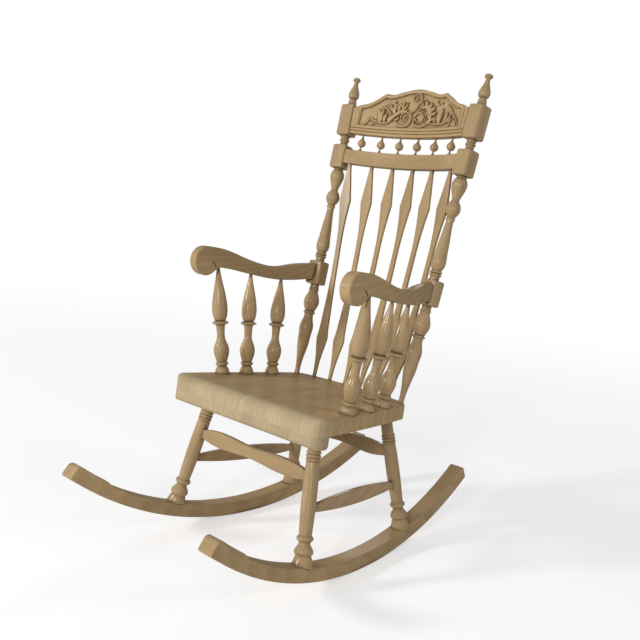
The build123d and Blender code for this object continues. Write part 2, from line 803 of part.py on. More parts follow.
with BuildPart() as crest_panel:
    # the sunk panel: the crest's outline drawn in by its border, as deep as the panel is sunk
    with BuildSketch(back_front):
        with BuildLine():
            draw_crest_outline(crest_border)
        make_face()
        with Locations((0, crest_bottom + crest_foot_border)):
            Rectangle(2 * crest_panel_half_width, crest_peak_height,
                      align=(Align.CENTER, Align.MIN), mode=Mode.INTERSECT)
    extrude(amount=bow_radius / 2, both=True)
    with BuildSketch(back.offset(crest_bottom)):
        with Locations((0, bow_depth - bow_radius)):
            Circle(front_radius_of_rails + panel_sink)
            Circle(front_radius_of_rails - rail_thickness, mode=Mode.SUBTRACT)
    extrude(amount=2 * crest_peak_height, mode=Mode.INTERSECT)

with BuildPart() as crest_rail:
    with BuildSketch(back.offset(crest_bottom)):
        draw_rail_plan()
    extrude(amount=2 * crest_peak_height)
    with BuildSketch(back_front):
        with BuildLine():
            draw_crest_outline()
        make_face()
    extrude(amount=bow_radius / 2, both=True, mode=Mode.INTERSECT)
    cut_to_blocks(crest_socket)
    fillet(edges().filter_by(lambda edge: edge.length > crest_cusp_place / 2), rail_edge)
    add(crest_panel.part, mode=Mode.SUBTRACT)
    right_tenon = rail_tenon(crest_socket, crest_end_height)
    add(right_tenon)
    mirror(right_tenon, about=Plane.YZ)
    for level in crest_bead_levels:
        with BuildSketch(Plane(origin=bow_axis.position, x_dir=back.y_dir, z_dir=back.x_dir)) as groove:
            with Locations((front_radius_of_rails, crest_bottom + level)):
                Circle(crest_bead_radius)
        revolve(groove.sketch, axis=bow_axis, mode=Mode.SUBTRACT)
    for across in ball_places():
        socket_end = ball_gap + ball_tenon_depth + glue_gap
        bore(ball_plane(across), ball_gap, socket_end, ball_tenon_radius + glue_gap)
label_and_write(crest_rail, "crest_rail")


# ball spindles, from the lower rail's top
ball_turning = (
    ((-ball_tenon_depth, ball_tenon_radius), (glue_gap, ball_tenon_radius)),
    ((glue_gap, 5), (2, 5)),
    ((2, 5), (5, 3.3), (8.5, 2.4), (11.5, 2.6)),
    (
        (11.5, 2.6), (13.2, 6.4), (17, 9.9), (ball_gap / 2, ball_radius), (27.5, 9.3), (32, 5.4),
        (37, 3.1), (ball_gap - glue_gap, 2.9),
    ),
    ((ball_gap - glue_gap, ball_tenon_radius), (ball_gap + ball_tenon_depth, ball_tenon_radius)),
)
for index, across in enumerate(ball_places()):
    with BuildPart() as ball_spindle:
        turn(ball_plane(across), ball_turning)
    label_and_write(ball_spindle, f"ball_spindle_{index + 1}")


# arrow spindles: flat, with a small swelling low down and a large arrow head high up
lower_arrow = ((0, 8), (46, 12.6), (60, 16), (73, 20.5), (108, 32))
waist = (
    (108, 32), (127, 26.5), (154, 23.4), (208, 18.3), (262, 14.6),
    (330, 13), (392, 14), (435, 20), (484, 33),
)
upper_arrow = ((484, 33), (540, 18), (578, 8))


def draw_arrow_outline(length):
    """Face of an arrow spindle, y up from the seat, given as (height, width) stretches."""
    right_edges = []
    for stretch in (lower_arrow, waist, upper_arrow):
        right_edges.append(Spline(*[(width / 2, height) for height, width in stretch]))
    top = (upper_arrow[-1][1] / 2, length + back_spindle_thickness)
    right_edges.append(Line((top[0], upper_arrow[-1][0]), top))
    foot = (lower_arrow[0][1] / 2, -back_spindle_thickness)
    right_edges.append(Line(foot, (foot[0], 0)))
    mirror(right_edges, about=Plane.YZ)
    Line((-foot[0], foot[1]), foot)
    Line((-top[0], top[1]), top)


def draw_bowed_side(length):
    """Side view of an arrow spindle, x to the front and y up: a strip bowed to the back."""
    ends = []
    for front in (-back_spindle_thickness / 2, back_spindle_thickness / 2):
        foot = (front, -back_spindle_thickness)
        head = (front, length + back_spindle_thickness)
        ThreePointArc(foot, (front - back_spindle_bow, length / 2), head)
        ends.append((foot, head))
    Line(ends[0][0], ends[1][0])
    Line(ends[0][1], ends[1][1])


for index in range(back_spindle_count):
    face, length = spindle_plane(index)
    axis_plane, length = spindle_axis(index)
    with BuildPart() as back_spindle:
        with BuildSketch(face):
            with BuildLine():
                draw_arrow_outline(length)
            make_face()
            for height, width in (lower_arrow[-1], upper_arrow[0]):
                round_corner((width / 2, height), arrow_rounding)
                round_corner((-width / 2, height), arrow_rounding)
        extrude(amount=back_spindle_bow + back_spindle_thickness, both=True)
        with BuildSketch(Plane(origin=face.origin, x_dir=face.z_dir, z_dir=face.z_dir.cross(face.y_dir))):
            with BuildLine():
                draw_bowed_side(length)
            make_face()
        extrude(amount=upper_arrow[0][1], both=True, mode=Mode.INTERSECT)
        fillet(edges().filter_by(lambda edge: edge.length > upper_arrow[0][1]), back_spindle_edge)
        split(bisect_by=seat.offset(glue_gap), keep=Keep.TOP)
        split(bisect_by=back.offset(lower_rail_bottom - glue_gap), keep=Keep.BOTTOM)
        peg(axis_plane, -back_spindle_seat_tenon, back_spindle_thickness, back_spindle_tenon_radius)
        tenon_end = length + back_spindle_rail_tenon
        peg(axis_plane, length - back_spindle_thickness, tenon_end, back_spindle_tenon_radius)
    label_and_write(back_spindle, f"back_spindle_{index + 1}")


# arms
arm_top = ((-10, 301), (20, 299), (74, 293), (105, 286.5), (136, 280.5), (170, 281), (232, 291), (294, 307))
arm_notch = ((331, 257), (325, 261), (318, 264))
arm_underside = ((318, 264), (257, 259), (195, 251), (131, 247), (66, 252), (-10, 262))
arm_nose_cut = 226          # degrees round the nose, where it meets the notch
nose_cut_start = (332, 261)
nose_cut_outer = (336.4, 272.4)
nose_cut_inner = (339.4, 269.2)
nose_cut_end = (348.5, 278)


def draw_arm_profile():
    """Side view of an arm: a dip behind, a rise, and a round nose with a notch below it."""
    crown = (arm_nose_reach, arm_nose_height + arm_nose_radius)
    tip = (arm_nose_reach + arm_nose_radius, arm_nose_height)
    end_angle = radians(arm_nose_cut)
    end = (
        arm_nose_reach + arm_nose_radius * cos(end_angle),
        arm_nose_height + arm_nose_radius * sin(end_angle),
    )
    Spline(*arm_top, crown, tangents=((1, -0.02), (1, 0)))
    ThreePointArc(crown, tip, end)
    Spline(end, *arm_notch)
    Spline(*arm_underside)
    Line(arm_underside[-1], arm_top[0])


def draw_arm_plan(half=arm_width / 2):
    """Plan of an arm, x forwards and y outwards: it bows outwards and comes in at the nose."""
    far = arm_nose_reach + 2 * arm_nose_radius
    edges_of_arm = []
    for offset in (-half, half):
        edges_of_arm.append(Spline(
            (-arm_nose_radius, offset),
            (arm_nose_reach / 2, arm_bow + offset),
            (far, offset - arm_nose_inset - arm_bow),
        ))
    Line(edges_of_arm[0] @ 0, edges_of_arm[1] @ 0)
    Line(edges_of_arm[0] @ 1, edges_of_arm[1] @ 1)


def arm_spindle_plane(index):
    """A right arm spindle's plane, its origin on the seat's top, and the spindle's length."""
    foot = seat.from_local_coords((*arm_spindle_seats[index], 0))
    head = seat.from_local_coords(arm_spindle_heads[index])
    return plane_along(foot, head - foot, Vector(1, 0, 0)), (head - foot).length


arm_plan = Plane(origin=arm_root, x_dir=arm_side.x_dir, z_dir=upwards)

with BuildPart() as nose_cuts:
    # a carver's crescent behind the nose, as deep in both side faces
    with BuildSketch(arm_side):
        with BuildLine():
            ThreePointArc(nose_cut_start, nose_cut_outer, nose_cut_end)
            ThreePointArc(nose_cut_end, nose_cut_inner, nose_cut_start)
        make_face()
    extrude(amount=2 * arm_width, both=True)
    with BuildSketch(arm_plan):
        with BuildLine():
            draw_arm_plan(arm_width / 2 - nose_cut_depth)
        make_face()
    extrude(amount=2 * arm_nose_height, mode=Mode.SUBTRACT)

with BuildPart() as arm:
    with BuildSketch(arm_plan):
        with BuildLine():
            draw_arm_plan()
        make_face()
    extrude(amount=2 * arm_nose_height)
    with BuildSketch(arm_side):
        with BuildLine():
            draw_arm_profile()
        make_face()
    extrude(amount=arm_nose_reach, both=True, mode=Mode.INTERSECT)
    split(bisect_by=arm_joint.offset(glue_gap), keep=Keep.TOP)
    fillet(edges().filter_by(lambda edge: edge.length > arm_width + arm_edge), arm_edge)
    add(nose_cuts.part, mode=Mode.SUBTRACT)
    peg(arm_joint, -arm_tenon_depth, arm_tenon_radius, arm_tenon_radius)
    screw_end = screw_head_start + arm_screw_length
    bore(arm_joint, -post_stock, screw_end + glue_gap, arm_screw_radius + screw_gap)
    for index in range(len(arm_spindle_seats)):
        axis_plane, length = arm_spindle_plane(index)
        head_end = length + arm_spindle_head_depth + glue_gap
        bore(axis_plane, length - arm_width, head_end, arm_spindle_head_radius + glue_gap)
write_pair(arm, "arm")

with BuildPart() as arm_screws:
    peg(arm_joint, screw_head_start, screw_end, arm_screw_radius)
    peg(arm_joint, screw_head_start, screw_head_start + arm_screw_head_height, arm_screw_head_radius)
    mirror(about=Plane.YZ)
label_and_write(arm_screws, "arm_screws")

with BuildPart() as arm_screw_plugs:
    peg(arm_joint, -post_stock, screw_head_start - glue_gap, arm_screw_head_radius)
    mirror(about=Plane.YZ)
label_and_write(arm_screw_plugs, "arm_screw_plugs")


# arm spindles
arm_spindle_turning = (
    ((-5, 18.6), (0, 18.2)),
    ((0, 18.2), (10, 16.5), (18.6, 11.6)),
    bead(20, 10, 16.1, 12),
    ((31, 13.2), (45, 17.5), (59, 19.5), (73, 16.5), (87, 11.1), (104, 9.9), (120, 11.1)),
    bead(123, 11, 20.6, 11.5),
)
# from the large ring to the arm, as (share of that length, radius)
arm_spindle_bulb = ((0, 14.3), (0.21, 19.5), (0.39, 17.6), (0.58, 13.6), (0.78, 8.3), (0.95, 5))
bulb_start = 135

for index, name in enumerate(("front", "middle", "rear")):
    axis_plane, length = arm_spindle_plane(index)
    bulb = [(bulb_start + share * (length - bulb_start), radius) for share, radius in arm_spindle_bulb]
    with BuildPart() as arm_spindle:
        turn(axis_plane, (*arm_spindle_turning, bulb))
        split(bisect_by=seat.offset(glue_gap), keep=Keep.TOP)
        peg(axis_plane, -arm_spindle_tenon_depth, arm_spindle_tenon_radius, arm_spindle_tenon_radius)
        peg(axis_plane, length - arm_width, length + arm_spindle_head_depth, arm_spindle_head_radius)
    label_and_write(arm_spindle, f"arm_spindle_right_{name}")
    with BuildPart() as left_arm_spindle:
        mirror(arm_spindle.part, about=Plane.YZ)
    label_and_write(left_arm_spindle, f"arm_spindle_left_{name}")


# seat
def draw_seat_plan():
    """Plan of the seat, widest in front, with a rear edge bowed to the back."""
    corner_depth = seat_bow_depth - seat_bow_radius + sqrt(seat_bow_radius ** 2 - seat_rear_half_width ** 2)
    front = (seat_front_half_width, -seat_front_depth)
    middle = (seat_middle_half_width, -seat_middle_depth)
    rear = (seat_rear_half_width, corner_depth)
    side = ThreePointArc(front, middle, rear)
    mirror(side, about=Plane.YZ)
    ThreePointArc(rear, (0, seat_bow_depth), (-rear[0], rear[1]))
    Line(front, (-front[0], front[1]))
    return front, rear


with BuildPart() as seat_blank:
    # boards and front strip in one, before they are parted
    with BuildSketch(seat):
        with BuildLine():
            front_corner, rear_corner = draw_seat_plan()
        make_face()
        for side in (-1, 1):
            round_corner((side * front_corner[0], front_corner[1]), seat_front_corner)
            round_corner((side * rear_corner[0], rear_corner[1]), seat_rear_corner)
    extrude(amount=-seat_thickness - strip_drop)
    fillet(edges().filter_by_position(Axis(seat.origin, seat.z_dir), -glue_gap, glue_gap), seat_edge_radius)
    strip_back = strip_depth - seat_front_depth
    strip_bottom = -seat_thickness - strip_drop
    with BuildSketch(seat_side):
        with BuildLine():
            Polyline(
                (-seat_front_depth, 0),
                (2 * seat_bow_depth, 0),
                (2 * seat_bow_depth, -seat_thickness),
                (strip_back, -seat_thickness),
                (strip_back, strip_bottom),
                (-seat_front_depth, strip_bottom),
                close=True,
            )
        make_face()
        round_corner((-seat_front_depth, 0), seat_roll_radius)
        round_corner((-seat_front_depth, strip_bottom), strip_front_radius)
        round_corner((strip_back, strip_bottom), strip_back_radius)
    extrude(amount=2 * seat_front_half_width, both=True, mode=Mode.INTERSECT)

# the seat's four boards, by the places of their edges
board_edges = (
    ("left_outer", -2 * seat_front_half_width, -seat_outer_joint),
    ("left_inner", -seat_outer_joint, 0),
    ("right_inner", 0, seat_outer_joint),
    ("right_outer", seat_outer_joint, 2 * seat_front_half_width),
)
board_joints = (-seat_outer_joint, 0, seat_outer_joint)


def dowel_planes():
    """Planes of the dowels between the boards, their origins at the joints, normals across."""
    planes = []
    for joint in board_joints:
        for row in range(dowel_rows):
            point = seat.from_local_coords((joint, -dowel_first - row * dowel_pitch, -dowel_level))
            planes.append(Plane(origin=point, x_dir=backwards, z_dir=(1, 0, 0)))
    return planes


def mirrored_plane(plane):
    """The plane of the same hole on the other side of the chair."""
    return Plane(
        origin=mirrored_point(plane.origin),
        x_dir=mirrored_point(plane.x_dir),
        z_dir=mirrored_point(plane.z_dir),
    )


# holes bored in the boards: plane, start, end and radius
seat_holes = []
for leg in (front_leg_plane, rear_leg_plane):
    tenon_start = seat_thickness - leg_tenon_depth - glue_gap
    seat_holes.append((leg, tenon_start, 2 * seat_thickness, leg_tenon_radius))
seat_holes.append((post_right, -post_tenon_depth - glue_gap, seat_thickness, post_tenon_radius))
for index in range(len(arm_spindle_seats)):
    axis_plane, length = arm_spindle_plane(index)
    tenon_end = -arm_spindle_tenon_depth - glue_gap
    seat_holes.append((axis_plane, tenon_end, seat_thickness, arm_spindle_tenon_radius))
for index in range(back_spindle_count // 2, back_spindle_count):
    axis_plane, length = spindle_axis(index)
    tenon_end = -back_spindle_seat_tenon - glue_gap
    seat_holes.append((axis_plane, tenon_end, seat_thickness, back_spindle_tenon_radius))

for name, left_edge, right_edge in board_edges:
    with BuildPart() as seat_board:
        with BuildSketch(seat.offset(seat_roll_radius)):
            with Locations((left_edge + glue_gap / 2, 0)):
                board_width = right_edge - left_edge - glue_gap
                Rectangle(board_width, clear_of_all, align=(Align.MIN, Align.CENTER))
        extrude(amount=-seat_roll_radius - seat_thickness)
        add(seat_blank.part, mode=Mode.INTERSECT)
        for plane, start, end, radius in seat_holes:
            bore(plane, start, end, radius + glue_gap)
            bore(mirrored_plane(plane), start, end, radius + glue_gap)
        for plane in dowel_planes():
            reach = dowel_length / 2 + glue_gap
            bore(plane, -reach, reach, dowel_radius + glue_gap)
    label_and_write(seat_board, f"seat_board_{name}")

with BuildPart() as seat_front_strip:
    with BuildSketch(seat.offset(-seat_thickness - glue_gap)):
        Rectangle(clear_of_all, clear_of_all)
    extrude(amount=-strip_drop)
    add(seat_blank.part, mode=Mode.INTERSECT)
label_and_write(seat_front_strip, "seat_front_strip")

with BuildPart() as seat_dowels:
    for plane in dowel_planes():
        peg(plane, -dowel_length / 2, dowel_length / 2, dowel_radius)
label_and_write(seat_dowels, "seat_dowels")
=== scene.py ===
"""Finishes, carving and studio for a turned rocking chair with an arrow-spindle back."""

from math import cos, radians, sin, sqrt

import bpy
from mathutils import Matrix, Vector


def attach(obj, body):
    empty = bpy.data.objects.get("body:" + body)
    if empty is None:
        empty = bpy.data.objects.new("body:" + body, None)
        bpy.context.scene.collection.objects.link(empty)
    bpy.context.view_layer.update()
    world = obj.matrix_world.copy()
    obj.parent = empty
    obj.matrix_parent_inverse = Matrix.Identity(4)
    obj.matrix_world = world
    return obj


bl_info = {
    "name": "Turned Rocking Chair",
    "version": (1, 0, 0),
    "blender": (4, 5, 0),
    "location": "View3D > Sidebar > Rocking Chair",
    "description": "Gives a turned rocking chair its wood, its carved crest and a plain studio",
    "category": "Object",
}

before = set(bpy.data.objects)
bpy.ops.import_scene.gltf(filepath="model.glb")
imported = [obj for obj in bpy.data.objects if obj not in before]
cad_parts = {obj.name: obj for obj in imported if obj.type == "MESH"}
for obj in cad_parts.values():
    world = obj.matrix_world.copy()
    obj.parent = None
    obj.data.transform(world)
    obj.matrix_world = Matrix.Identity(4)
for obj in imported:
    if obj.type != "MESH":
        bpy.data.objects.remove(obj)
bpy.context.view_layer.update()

BODY = "root"
UP = Vector((0, 0, 1))
SIDEWAYS = Vector((1, 0, 0))

# the seat's slope and the back's lean, as in the solids; lengths in metres
SEAT_SLOPE = radians(3.3)
BACK_LEAN = radians(11.58)
SEAT_ORIGIN = Vector((0, 0.163146, 0.368452))
SEAT_BACKWARDS = Vector((0, cos(SEAT_SLOPE), -sin(SEAT_SLOPE)))
SEAT_UPWARDS = Vector((0, sin(SEAT_SLOPE), cos(SEAT_SLOPE)))
BACK_BACKWARDS = Vector((0, cos(BACK_LEAN), -sin(BACK_LEAN)))
BACK_UPWARDS = Vector((0, sin(BACK_LEAN), cos(BACK_LEAN)))
ROCKING_CENTRE = Vector((0, 0.0412, 0.868))
PANEL_RADIUS = 0.575        # the crest's sunk panel
BOW_CENTRE = -0.559         # the middle of its sweep, ahead of the posts
MILLIMETRE = 0.001

# how the grain runs: splay and rake of the legs in degrees, then single pieces
FRONT_LEG_SPLAY, FRONT_LEG_RAKE = 9.15, -7.7
REAR_LEG_SPLAY, REAR_LEG_RAKE = 10.2, 12.7
POST_SPLAY = radians(2.23)
SIDE_STRETCHER_GRAIN = Vector((0, 1, -0.05)).normalized()
ARM_GRAIN = Vector((0, 1, -0.12)).normalized()
ROCKER_HEART = 0.835        # the log's heart, from the rocking centre
SEAT_TURN, SEAT_FRONT = -0.160, -0.180      # where the seat's top ends and its front starts

# the log's heart beside the first piece of a group, and its step from piece to piece
HEART_START = (0.013, -0.008, 0.0)
HEART_STEP = (0.021, -0.017, 0.31)
TONE_STEP = 0.025

# how far each pattern of the wood is drawn out: the third figure is along the grain
WAVER_STRETCH = (1.0, 1.0, 0.10)
RING_STRETCH = (1.0, 0.35, 0.035)
FIBRE_STRETCH = (1.0, 1.0, 0.045)
PORE_STRETCH = (1.0, 1.0, 0.07)
PATCH_STRETCH = (1.0, 1.0, 0.35)
# how much rings, streaks and fibres count in the colour, and how dark a pore is
RING_SHARE, STREAK_SHARE, FIBRE_SHARE = 0.20, 0.60, 0.34
PORE_SHARE = 0.30

# weight of the clear coat on each kind of piece
TURNED_VARNISH = 0.32
FLAT_VARNISH = 0.12
CREST_VARNISH = 0.14
ARM_VARNISH = 0.09
SEAT_VARNISH = 0.06
VARNISH_ROUGHNESS = 0.16
# painted shade with some old polish in the hollows: how far into a hollow the darkening reaches,
# and how dark it gets
HOLLOW_SHADE_REACH = 0.012
HOLLOW_SHADE_SHARE = 0.82
CREST_POLISH_AND_SHADE = 0.55

# carving: how narrow a stroke's ends are, and how its mesh is closed and shaded
TIP_SHARE = 0.25
MERGE_DISTANCE = 0.00002
SMOOTH_ANGLE = radians(60)

# studio
LAMP_TARGET = Vector((0, 0.05, 0.5))
KEY_PLACE, KEY_SIZE = Vector((-2.6, -5.6, 2.7)), 0.9
NEAR_PLACE, NEAR_SIZE = Vector((2.2, -5.4, 2.2)), 1.1
FILL_PLACE, FILL_SIZE = Vector((6.0, 2.2, 3.4)), 2.2
BACK_PLACE, BACK_SIZE = Vector((-3.6, 5.2, 3.2)), 2.2
CAMERA_PLACE = (1.29014, -1.432723, 0.834664)
CAMERA_FORWARD = Vector((-0.6529, 0.743531, -0.144237)).normalized()
CAMERA_RIGHT = Vector((0.7382, 0.667279, 0.098548)).normalized()
SENSOR_WIDTH = 36
CLIP_START = 0.05
FADE_START, FADE_END = 0.9, 5.0     # how far out the floor turns to plain white


class ChairWoodSettings(bpy.types.PropertyGroup):
    """Colour, grain and gloss of the chair's wood"""

    light: bpy.props.FloatVectorProperty(
        name="Early wood",
        description="Colour of the pale bands of the grain",
        subtype="COLOR",
        size=3,
        min=0,
        max=1,
        default=(0.47, 0.335, 0.18),
    )
    dark: bpy.props.FloatVectorProperty(
        name="Late wood",
        description="Colour of the dark bands of the grain",
        subtype="COLOR",
        size=3,
        min=0,
        max=1,
        default=(0.375, 0.255, 0.128),
    )
    # the pore colour is also painted into the hollows as shade, together with old polish
    pores: bpy.props.FloatVectorProperty(
        name="Pores",
        description="Colour of the open pores and of old polish in the hollows",
        subtype="COLOR",
        size=3,
        min=0,
        max=1,
        default=(0.12, 0.068, 0.026),
    )
    # painted sheen: each colour is made this much paler on the seat's front, standing in for the
    # lamps' light on it, not for end grain
    painted_front_sheen: bpy.props.FloatVectorProperty(
        name="End grain",
        description="How much paler each colour is where end grain has taken less stain",
        size=3,
        min=0,
        max=2,
        default=(1.01, 1.13, 1.31),
    )
    roughness: bpy.props.FloatProperty(
        name="Roughness",
        description="How dull the satin varnish is",
        subtype="FACTOR",
        min=0,
        max=1,
        default=0.31,
    )
    ring_width: bpy.props.FloatProperty(
        name="Ring width",
        description="Width of one growth ring",
        subtype="DISTANCE",
        min=0.001,
        default=0.0045,
    )


class ChairCarvingSettings(bpy.types.PropertyGroup):
    """Sizes of the carved crest"""

    relief: bpy.props.FloatProperty(
        name="Relief",
        description="How far the carving stands out of the panel, for its width",
        subtype="FACTOR",
        min=0.1,
        max=4,
        default=3.0,
    )
    crown: bpy.props.FloatProperty(
        name="Crown",
        description="How high the broadest leaves can stand",
        subtype="DISTANCE",
        min=0.001,
        default=0.0042,
    )
    sink: bpy.props.FloatProperty(
        name="Panel depth",
        description="How far the panel lies behind its border",
        subtype="DISTANCE",
        min=0,
        default=0.003,
    )
    bead: bpy.props.FloatProperty(
        name="Bead",
        description="Half the width of the border's bead, in millimetres",
        min=0.5,
        max=8,
        default=4.2,
    )
    bead_relief: bpy.props.FloatProperty(
        name="Bead relief",
        description="How far the bead stands out of the border, for its width",
        subtype="FACTOR",
        min=0,
        max=1,
        default=0.9,
    )
    facets: bpy.props.IntProperty(
        name="Facets",
        description="Steps round each carved stem and leaf",
        min=2,
        max=12,
        default=4,
    )


class ChairStageSettings(bpy.types.PropertyGroup):
    """Floor, lamps and camera"""

    floor_size: bpy.props.FloatProperty(
        name="Floor",
        description="Width of the floor",
        subtype="DISTANCE",
        unit="LENGTH",
        min=4,
        default=24,
    )
    floor_colour: bpy.props.FloatVectorProperty(
        name="Floor colour",
        description="Colour of the floor and the backdrop",
        subtype="COLOR",
        size=3,
        min=0,
        max=1,
        default=(0.86, 0.86, 0.87),
    )
    glow: bpy.props.FloatProperty(
        name="Floor glow",
        description="How light the floor's shadows stay",
        subtype="FACTOR",
        min=0,
        max=1,
        default=0.5,
    )
    fade: bpy.props.FloatProperty(
        name="Shadow fade",
        description="How far the floor's shadows fade below the chair",
        subtype="FACTOR",
        min=0.01,
        max=1,
        default=0.17,
    )
    key_power: bpy.props.FloatProperty(
        name="Key lamp",
        description="Power of the main lamp",
        subtype="POWER",
        unit="POWER",
        min=0,
        default=215,
    )
    near_power: bpy.props.FloatProperty(
        name="Near lamp",
        description="Power of the lamp on the camera's side",
        subtype="POWER",
        unit="POWER",
        min=0,
        default=122,
    )
    fill_power: bpy.props.FloatProperty(
        name="Fill lamp",
        description="Power of the lamp at the chair's side",
        subtype="POWER",
        unit="POWER",
        min=0,
        default=64,
    )
    back_power: bpy.props.FloatProperty(
        name="Back lamp",
        description="Power of the lamp that lights the chair's back",
        subtype="POWER",
        unit="POWER",
        min=0,
        default=60,
    )
    sky: bpy.props.FloatProperty(
        name="Room light",
        description="Strength of the light from all sides",
        min=0,
        default=0.22,
    )
    lens: bpy.props.FloatProperty(
        name="Lens",
        description="Focal length of the camera",
        subtype="DISTANCE_CAMERA",
        min=10,
        default=45.75,
    )


def deselect_all():
    """Leave edit mode and select nothing."""
    if bpy.context.object and bpy.context.object.mode != "OBJECT":
        bpy.ops.object.mode_set(mode="OBJECT")
    bpy.ops.object.select_all(action="DESELECT")


def select_only(thing):
    deselect_all()
    thing.select_set(True)
    bpy.context.view_layer.objects.active = thing


# ---------------------------------------------------------------- wood


class NodeDesk:
    """Places and joins the nodes of one material."""

    def __init__(self, tree):
        self.tree = tree

    def add(self, kind, settings=None, **inputs):
        node = self.tree.nodes.new(kind)
        for name, value in (settings or {}).items():
            setattr(node, name, value)
        for name, value in inputs.items():
            self.put(node, name.replace("_", " "), value)
        return node

    def put(self, node, name, value):
        socket = node.inputs[name]
        if isinstance(value, bpy.types.NodeSocket):
            self.tree.links.new(value, socket)
        else:
            socket.default_value = value

    def maths(self, operation, first, second=0.0):
        node = self.tree.nodes.new("ShaderNodeMath")
        node.operation = operation
        self.put(node, 0, first)
        self.put(node, 1, second)
        return node.outputs[0]

    def vector(self, operation, first, second=(0, 0, 0), output=0):
        node = self.tree.nodes.new("ShaderNodeVectorMath")
        node.operation = operation
        self.put(node, 0, first)
        self.put(node, 1, second)
        return node.outputs[output]

    def blend(self, factor, first, second, kind="MIX"):
        node = self.tree.nodes.new("ShaderNodeMix")
        node.data_type = "RGBA"
        node.blend_type = kind
        self.put(node, "Factor", factor)
        self.put(node, 6, first)
        self.put(node, 7, second)
        return node.outputs[2]

    def remap(self, value, low, high, to_low=0.0, to_high=1.0):
        node = self.tree.nodes.new("ShaderNodeMapRange")
        node.interpolation_type = "SMOOTHSTEP"
        for name, number in (
            ("Value", value),
            ("From Min", low),
            ("From Max", high),
            ("To Min", to_low),
            ("To Max", to_high),
        ):
            self.put(node, name, number)
        return node.outputs[0]

    def noise(self, vector, scale, detail=3.0, rough=0.55):
        node = self.tree.nodes.new("ShaderNodeTexNoise")
        self.put(node, "Vector", vector)
        self.put(node, "Scale", scale)
        self.put(node, "Detail", detail)
        self.put(node, "Roughness", rough)
        return node.outputs[0]


def straight_grain(desk, place, along, shift):
    """Coordinates whose third axis runs along the grain."""
    turn = along.rotation_difference(UP).to_euler()
    node = desk.add("ShaderNodeMapping", {"vector_type": "POINT"}, Vector=place, Rotation=turn)
    return desk.vector("ADD", node.outputs[0], shift)


def draped_grain(desk, place, shift):
    """Coordinates for a seat board: the grain runs back along its top and down over its front."""
    parts = desk.add("ShaderNodeSeparateXYZ", Vector=place)
    across, deep, high = parts.outputs
    ahead = desk.maths("SUBTRACT", deep, high)
    slight = desk.maths("MULTIPLY", deep, 0.08)
    joined = desk.add("ShaderNodeCombineXYZ", X=across, Y=slight, Z=ahead)
    return desk.vector("ADD", joined.outputs[0], shift)


def bent_grain(desk, place, centre, radius, shift):
    """Coordinates whose third axis follows a rocker's sweep."""
    near = desk.vector("SUBTRACT", place, centre)
    parts = desk.add("ShaderNodeSeparateXYZ", Vector=near)
    across, deep, high = parts.outputs
    angle = desk.maths("ARCTAN2", deep, desk.maths("MULTIPLY", high, -1.0))
    ahead = desk.maths("MULTIPLY", angle, radius)
    squares = [desk.maths("POWER", side, 2.0) for side in (deep, high)]
    out = desk.maths("SQRT", desk.maths("ADD", *squares))
    joined = desk.add("ShaderNodeCombineXYZ", X=across, Y=out, Z=ahead)
    return desk.vector("ADD", joined.outputs[0], shift)


